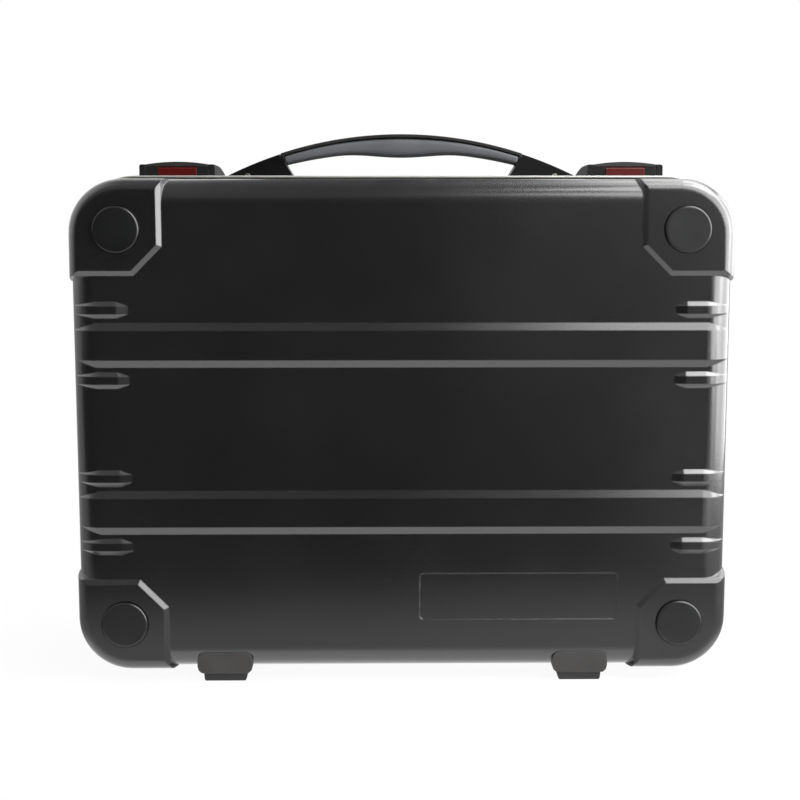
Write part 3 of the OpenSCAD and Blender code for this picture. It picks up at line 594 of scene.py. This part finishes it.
class Bench:
    """Modelling steps that several sub-assemblies share.

    Corners nearer than WELD_DISTANCE, in metres, become one. Turns are in radians.
    Faces that meet at less than FLAT_TURN are joined, and edges sharper than
    ROUNDED_TURN are rounded. In a copy that is subdivided, edges sharper than
    CREASED_TURN stay crisp.
    """

    WELD_DISTANCE = 2e-6
    FLAT_TURN = math.radians(0.4)
    ROUNDED_TURN = math.radians(35.0)
    SMOOTH_TURN = math.radians(38.0)
    LARGE_FACE_WEIGHT = 100
    QUAD_FACE_TURN = math.radians(30.0)
    QUAD_SHAPE_TURN = math.radians(60.0)
    CREASED_TURN = math.radians(50.0)
    CREASE = 0.8
    SUBDIVISIONS = 2

    def __init__(self, shop: FinishShop) -> None:
        """Keeps the finish shop.

        Args:
            shop: Where finishes come from.
        """
        self.shop = shop

    @staticmethod
    def only(piece: bpy.types.Object) -> None:
        """Selects one object and makes it active.

        Args:
            piece: The object.
        """
        if bpy.context.object and bpy.context.object.mode != "OBJECT":
            bpy.ops.object.mode_set(mode="OBJECT")
        bpy.ops.object.select_all(action="DESELECT")
        piece.select_set(True)
        bpy.context.view_layer.objects.active = piece

    def softened_copy(self, node: str, finish: Finish, width: float,
                      segments: int = 2) -> None:
        """Stands a copy of a CAD node with rounded edges in its place.

        Args:
            node: The CAD node.
            finish: The copy's finish.
            width: Width of the rounding.
            segments: Steps of the rounding.
        """
        piece = self._merged_copy(node, "softened")
        bpy.ops.object.mode_set(mode="EDIT")
        bpy.ops.mesh.dissolve_limited(angle_limit=self.FLAT_TURN)
        bpy.ops.object.mode_set(mode="OBJECT")
        bevel = piece.modifiers.new("round", "BEVEL")
        bevel.width, bevel.segments = width, segments
        bevel.limit_method, bevel.angle_limit = "ANGLE", self.ROUNDED_TURN
        bevel.use_clamp_overlap = True
        bpy.ops.object.modifier_apply(modifier="round")
        bpy.ops.object.shade_smooth_by_angle(angle=self.SMOOTH_TURN)
        level = piece.modifiers.new("level", "WEIGHTED_NORMAL")
        level.keep_sharp, level.weight = True, self.LARGE_FACE_WEIGHT
        bpy.ops.object.modifier_apply(modifier="level")
        self.finish_piece(piece, finish, frame["nodes"][node]["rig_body"], [node])

    def rounded_copy(self, node: str, finish: Finish) -> None:
        """Stands a subdivided copy of a faceted CAD node in its place.

        Args:
            node: The CAD node.
            finish: The copy's finish.
        """
        piece = self._merged_copy(node, "rounded")
        bpy.ops.object.mode_set(mode="EDIT")
        bpy.ops.mesh.tris_convert_to_quads(face_threshold=self.QUAD_FACE_TURN,
                                           shape_threshold=self.QUAD_SHAPE_TURN)
        bpy.ops.mesh.select_all(action="DESELECT")
        bpy.ops.mesh.edges_select_sharp(sharpness=self.CREASED_TURN)
        bpy.ops.transform.edge_crease(value=self.CREASE)
        bpy.ops.object.mode_set(mode="OBJECT")
        round_off = piece.modifiers.new("round", "SUBSURF")
        round_off.levels = round_off.render_levels = self.SUBDIVISIONS
        bpy.ops.object.modifier_apply(modifier="round")
        bpy.ops.object.shade_smooth_by_angle(angle=self.CREASED_TURN)
        self.finish_piece(piece, finish, frame["nodes"][node]["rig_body"], [node])

    def _merged_copy(self, node: str, word: str) -> bpy.types.Object:
        """Copies a CAD node and merges the corners of its triangles.

        Args:
            node: The CAD node.
            word: What the copy's name ends with.

        Returns:
            The copy, active, with everything in it selected.
        """
        piece = bpy.data.objects.new(f"{node}_{word}", frame["nodes"][node].data.copy())
        bpy.context.scene.collection.objects.link(piece)
        self.only(piece)
        bpy.ops.object.mode_set(mode="EDIT")
        bpy.ops.mesh.select_mode(type="EDGE")
        bpy.ops.mesh.select_all(action="SELECT")
        bpy.ops.mesh.remove_doubles(threshold=self.WELD_DISTANCE)
        bpy.ops.object.mode_set(mode="OBJECT")
        return piece

    def finish_piece(self, piece: bpy.types.Object, finish: Finish, body: str,
                     stands_for: Sequence[str]) -> None:
        """Dresses a piece and ties it to its body.

        Args:
            piece: The new piece, in its place.
            finish: Its finish.
            body: The body that it moves with.
            stands_for: CAD nodes that it replaces.
        """
        self.shop.dress(piece, finish)
        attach(piece, body)
        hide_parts(*stands_for)
        LOG.info("piece %s: %d faces", piece.name, len(piece.data.polygons))


# ---------------------------------------------------------------- sub-assemblies


@dataclass
class Shells:
    """The two moulded shells with their plugs and feet."""

    bench: Bench
    foot_edge: float = 0.6 * MM

    def build(self) -> None:
        """Dresses the shells and what is fixed to them."""
        shop = self.bench.shop
        shop.dress_nodes(["lid_shell", "base_shell"], SHELL)
        shop.dress_nodes(["lid_corner_plugs", "base_corner_plugs"], PLUG)
        for half in Half:
            self.bench.softened_copy(f"{half.value}_feet", FOOT, self.foot_edge)
        shop.dress_nodes(["lid_foot_pads", "base_foot_pads"], FOOT_RUBBER)


@dataclass
class Rims:
    """The aluminium rim frames, the gasket, and the near-black strips in lid_seal and
    base_seal that paint the shade of the neck under the rim's bead.
    """

    bench: Bench

    def build(self) -> None:
        """Dresses the frames, the gasket, and the strips that paint the neck's shade.
        """
        shop = self.bench.shop
        shop.dress_nodes(["lid_frame", "base_frame"], RIM)
        # lid_seal and base_seal are near-black strips painting the shade under the
        # rim's bead; rim_gasket is the real gasket.
        shop.dress_nodes(["lid_seal", "base_seal", "rim_gasket"], SEAL_AND_NECK_SHADE)


@dataclass
class Latches:
    """Both lever latches."""

    bench: Bench
    housing_edge: float = 0.5 * MM
    button_edge: float = 0.6 * MM
    button_steps: int = 3

    def build(self) -> None:
        """Dresses each latch's plastic and steel parts."""
        shop = self.bench.shop
        for side in Side:
            word = side.value
            self.bench.softened_copy(f"{word}_latch_housing", LATCH, self.housing_edge)
            self.bench.softened_copy(f"{word}_latch_button", BUTTON, self.button_edge,
                                     self.button_steps)
            shop.dress_nodes([f"{word}_latch_lever"], LATCH)
            shop.dress_nodes([f"{word}_latch_pin", f"{word}_latch_hook",
                              f"{word}_keeper", f"{word}_button_spring"], STEEL)
        shop.dress_nodes(["latch_rivets"], STEEL)


@dataclass
class Handle:
    """The bow handle with its strap, soft grip, feet and mounts."""

    bench: Bench
    foot_edge: float = 0.6 * MM
    strap_edge: float = 0.4 * MM

    def build(self) -> None:
        """Dresses the handle."""
        shop = self.bench.shop
        for side in Side:
            word = side.value
            self.bench.softened_copy(f"{word}_handle_foot", HANDLE, self.foot_edge)
            shop.dress_nodes([f"{word}_handle_mount"], HANDLE)
            shop.dress_nodes([f"{word}_handle_pin"], STEEL)
        self.bench.softened_copy("handle_strap", STRAP, self.strap_edge)
        self.bench.rounded_copy("handle_grip", GRIP)
        shop.dress_nodes(["handle_foot_rivets", "handle_mount_screws"], STEEL)


@dataclass
class Hinges:
    """Both butt hinges with their rivets and pins."""

    bench: Bench

    def build(self) -> None:
        """Dresses the hinges."""
        names = ["lid_hinge_rivets", "base_hinge_rivets"]
        for side in Side:
            names += [f"{side.value}_lid_hinge_leaf", f"{side.value}_base_hinge_leaf",
                      f"{side.value}_hinge_pin"]
        self.bench.shop.dress_nodes(names, STEEL)


# ---------------------------------------------------------------- studio


@dataclass(frozen=True)
class PhotoCamera:
    """The camera, where the photograph was taken from.

    Attributes:
        focal_px: Focal length in pixels.
        frame_px: The picture's width in pixels.
        shift_px: How far the picture's middle lies off the axis, in pixels.
        pitch: How far it looks down, in degrees.
        yaw: How far it looks to the right, in degrees.
        eye: Where it is.
        sensor_width: The sensor's width in millimetres.
        nearest: Least distance that it sees, in metres.
        farthest: Greatest distance that it sees, in metres.
    """

    focal_px: float = 1475.0
    frame_px: float = 800.0
    shift_px: float = 4.4
    pitch: float = 7.43
    yaw: float = 0.72
    eye: Place = (-0.012, -1.1413, 0.3486)
    sensor_width: float = 36.0
    nearest: float = 0.05
    farthest: float = 30.0

    def build(self) -> None:
        """Sets up the camera and makes it the scene's own."""
        data = bpy.data.cameras.new("photo_camera")
        data.sensor_width = self.sensor_width
        data.lens = self.focal_px * self.sensor_width / self.frame_px
        data.shift_x = -self.shift_px / self.frame_px
        data.clip_start, data.clip_end = self.nearest, self.farthest
        camera = bpy.data.objects.new("photo_camera", data)
        camera.location = self.eye
        camera.rotation_euler = (math.radians(90.0 - self.pitch), 0.0,
                                 math.radians(-self.yaw))
        bpy.context.scene.collection.objects.link(camera)
        bpy.context.scene.camera = camera


@dataclass(frozen=True)
class Floor:
    """A pale floor that keeps the case's shadow.

    The white around the case shows through it, and so does the lid when it hangs
    below the floor, open. From below the floor is clear, so light reaches that lid.
    In the case's gloss the floor glows, in some places more than in others.

    Attributes:
        width: The floor's width in metres.
        paper: How pale it is.
        paper_roughness: How dull it is.
        paper_specular: How much it mirrors.
        slant: How much farther back a place counts for each metre to the right.
        nearest: Least distance to the front that far_right reckons with.
        steep_strip: Glow where it is seen steeply, by how far back it is.
        steep: How much of that is left, by how flat the view is.
        table: Glow from any view, by how far back it is.
        right: Glow at the right, by how far right it is.
        far_right: More of it, by how far right for each metre to the front.
        in_front: How much of both is left, by how far back it is.
        veil: How much of the glow covers the paper, by distance from the middle.
    """

    width: float = 16.0
    paper: float = 0.95
    paper_roughness: float = 0.9
    paper_specular: float = 0.1
    slant: float = 0.25
    nearest: float = 0.1
    steep: Ramp = Ramp(0.35, 0.7, 1.0, 0.0)
    steep_strip: Ramp = Ramp(-0.42, -0.35, 0.02, 1.0)
    table: Ramp = Ramp(-0.37, -0.19, 0.02, 0.36)
    right: Ramp = Ramp(0.02, 0.32, 0.0, 0.08)
    far_right: Ramp = Ramp(0.5, 1.1, 0.0, 1.5)
    in_front: Ramp = Ramp(-0.6, -0.35, 1.0, 0.0)
    veil: Ramp = Ramp(0.28, 0.42, 0.94, 1.0)

    def build(self) -> None:
        """Lays the floor."""
        bpy.ops.object.select_all(action="DESELECT")
        bpy.ops.mesh.primitive_plane_add(size=self.width, location=(0.0, 0.0, 0.0))
        floor = bpy.context.object
        floor.name = "studio_floor"
        floor.data.materials.append(self._material())

    def _material(self) -> bpy.types.Material:
        """Makes the paper, the glow over it and the clear underside.

        Returns:
            The floor's material.
        """
        material = bpy.data.materials.new("studio floor")
        material.use_nodes = True
        material.node_tree.nodes.clear()
        t = NodeTree(material.node_tree)
        where = t.add("ShaderNodeTexCoord").outputs["Object"]
        path = t.add("ShaderNodeLightPath").outputs
        clear = t.add("ShaderNodeBsdfTransparent")
        paper = t.add("ShaderNodeBsdfPrincipled", {
            "Base Color": (self.paper, self.paper, self.paper, 1.0),
            "Roughness": self.paper_roughness,
            "Specular IOR Level": self.paper_specular})
        mirrored = t.add("ShaderNodeEmission", {
            "Color": WHITE, "Strength": self._glow(t, where)})
        glow = t.mix_shaders(path["Is Camera Ray"], mirrored, clear)
        seen = t.chain("MAXIMUM", path["Is Camera Ray"], path["Is Glossy Ray"],
                       path["Is Transmission Ray"])
        far = t.add("ShaderNodeVectorMath", {0: where}, operation="LENGTH")
        share = t.math("MULTIPLY", seen, t.spread(far.outputs["Value"], self.veil))
        top = t.mix_shaders(share, paper, glow)
        below = t.add("ShaderNodeNewGeometry").outputs["Backfacing"]
        both = t.mix_shaders(below, top, clear)
        t.add("ShaderNodeOutputMaterial", {"Surface": both.outputs[0]})
        return material

    def _glow(self, t: NodeTree, where: Socket) -> Socket:
        """Works out how bright the floor looks in gloss.

        Args:
            t: The tree helper.
            where: The place on the floor.

        Returns:
            The brightness's socket.
        """
        place = t.add("ShaderNodeSeparateXYZ", {0: where}).outputs
        slanted = t.math("MAXIMUM", t.math("MULTIPLY", place["X"], self.slant), 0.0)
        reach = t.math("ADD", place["Y"], slanted)
        facing = t.add("ShaderNodeLayerWeight").outputs["Facing"]
        near = t.math("MULTIPLY", t.spread(reach, self.steep_strip),
                      t.spread(facing, self.steep))
        ahead = t.math("MAXIMUM", t.math("MULTIPLY", place["Y"], -1.0), self.nearest)
        aside = t.math("DIVIDE", place["X"], ahead)
        right = t.math("ADD", t.spread(place["X"], self.right),
                       t.spread(aside, self.far_right))
        right_front = t.math("MULTIPLY", right, t.spread(place["Y"], self.in_front))
        return t.chain("MAXIMUM", near, t.spread(reach, self.table), right_front)


@dataclass(frozen=True)
class Sky:
    """The light round the case. The camera itself sees plain white.

    The back and the sides are white near the horizon and dim above it. The front is
    dark but for a weak light high up, to either side of the camera. A fill comes
    from the right, most of it from low down, and a bright crown hangs high behind
    the case at the right. Each ramp reads one part of a direction's unit vector.

    Attributes:
        ring: Light at the back and sides, by height.
        ring_lift: How much higher it reaches, by distance from the middle.
        ring_back: How much of it is left, from front to back.
        high: Weak light high up, by height.
        high_aside: How much of it is left, by distance from the middle.
        fill: Light from the right, by how far right.
        low_fill: More of it, by how far right.
        low_fill_top: How much of that is left, by height.
        crown: Light of the crown, by how far right.
        crown_back: How much of it is left, from front to back.
        crown_height: How much of it is left, by height.
    """

    ring: Ramp = Ramp(0.0, 0.25, 1.0, 0.04)
    ring_lift: Ramp = Ramp(0.06, 0.16, 0.0, 0.8)
    ring_back: Ramp = Ramp(-0.7, -0.2)
    high: Ramp = Ramp(0.2, 0.5, 0.0, 0.25)
    high_aside: Ramp = Ramp(0.0, 0.2, 0.2, 1.0)
    fill: Ramp = Ramp(0.05, 0.25, 0.0, 0.35)
    low_fill: Ramp = Ramp(0.3, 0.65, 0.0, 1.3)
    low_fill_top: Ramp = Ramp(0.15, 0.4, 1.0, 0.0)
    crown: Ramp = Ramp(0.1, 0.17, 0.0, 3.4)
    crown_back: Ramp = Ramp(-0.05, 0.1)
    crown_height: Ramp = Ramp(0.5, 0.8)

    def build(self) -> None:
        """Makes the scene's world."""
        world = bpy.data.worlds.new("studio_world")
        bpy.context.scene.world = world
        world.use_nodes = True
        world.node_tree.nodes.clear()
        t = NodeTree(world.node_tree)
        path = t.add("ShaderNodeLightPath")
        strength = t.math("MAXIMUM", self._level(t), path.outputs["Is Camera Ray"])
        back = t.add("ShaderNodeBackground", {"Color": WHITE, "Strength": strength})
        t.add("ShaderNodeOutputWorld", {"Surface": back.outputs[0]})

    def _level(self, t: NodeTree) -> Socket:
        """Works out how bright each direction is.

        Args:
            t: The tree helper.

        Returns:
            The brightness's socket.
        """
        direction = t.add("ShaderNodeTexCoord").outputs["Generated"]
        way = t.add("ShaderNodeSeparateXYZ", {0: direction}).outputs
        off_centre = t.math("ABSOLUTE", way["X"])
        height = t.math("SUBTRACT", way["Z"], t.spread(off_centre, self.ring_lift))
        sides = t.math("MULTIPLY", t.spread(height, self.ring),
                       t.spread(way["Y"], self.ring_back))
        high = t.math("MULTIPLY", t.spread(way["Z"], self.high),
                      t.spread(off_centre, self.high_aside))
        low_fill = t.math("MULTIPLY", t.spread(way["X"], self.low_fill),
                          t.spread(way["Z"], self.low_fill_top))
        fill = t.math("ADD", t.spread(way["X"], self.fill), low_fill)
        crown = t.chain("MULTIPLY", t.spread(way["Y"], self.crown_back),
                        t.spread(way["Z"], self.crown_height),
                        t.spread(way["X"], self.crown))
        return t.chain("MAXIMUM", sides, high, fill, crown)


@dataclass(frozen=True)
class Lamp:
    """A rectangular soft light.

    Attributes:
        name: The lamp's name.
        place: Where it is.
        aim: What it points at.
        size: Its width and height in metres.
        power: Its power in watts.
        lean: Turn about its own axis, in degrees.
    """

    name: str
    place: Place
    aim: Place
    size: tuple[float, float]
    power: float
    lean: float = 0.0

    def build(self) -> None:
        """Hangs the lamp and points it."""
        data = bpy.data.lights.new(self.name, "AREA")
        data.shape, data.energy = "RECTANGLE", self.power
        data.size, data.size_y = self.size
        lamp = bpy.data.objects.new(self.name, data)
        lamp.location = self.place
        way = Vector(self.aim) - Vector(self.place)
        lamp.rotation_euler = way.to_track_quat("-Z", "Y").to_euler()
        lamp.rotation_euler.rotate_axis("Z", math.radians(self.lean))
        bpy.context.scene.collection.objects.link(lamp)


@dataclass(frozen=True)
class Studio:
    """Camera, pale floor and soft lights."""

    camera: PhotoCamera = PhotoCamera()
    floor: Floor = Floor()
    sky: Sky = Sky()
    lamps: tuple[Lamp, ...] = (
        Lamp("key", place=(1.02, -0.84, 0.88), aim=(0.0, -0.05, 0.2), size=(1.4, 1.8),
             power=26.0, lean=15.0),
        Lamp("side", place=(1.05, 0.1, 0.5), aim=(0.2, 0.1, 0.5), size=(1.4, 1.0),
             power=13.0),
        Lamp("top", place=(0.73, -0.3, 1.3), aim=(0.13, -0.1, 0.3), size=(1.0, 0.9),
             power=12.0),
    )

    def build(self) -> None:
        """Sets the camera, the floor and the lights."""
        for part in (self.camera, self.floor, self.sky, *self.lamps):
            part.build()
        bpy.context.scene.view_settings.view_transform = "Standard"


def main() -> None:
    """Builds every sub-assembly and the studio."""
    logging.basicConfig(level=logging.INFO, format="%(name)s: %(message)s")
    bench = Bench(FinishShop())
    for kind in (Shells, Rims, Latches, Handle, Hinges):
        kind(bench).build()
    Studio().build()


if __name__ == "__main__":
    main()
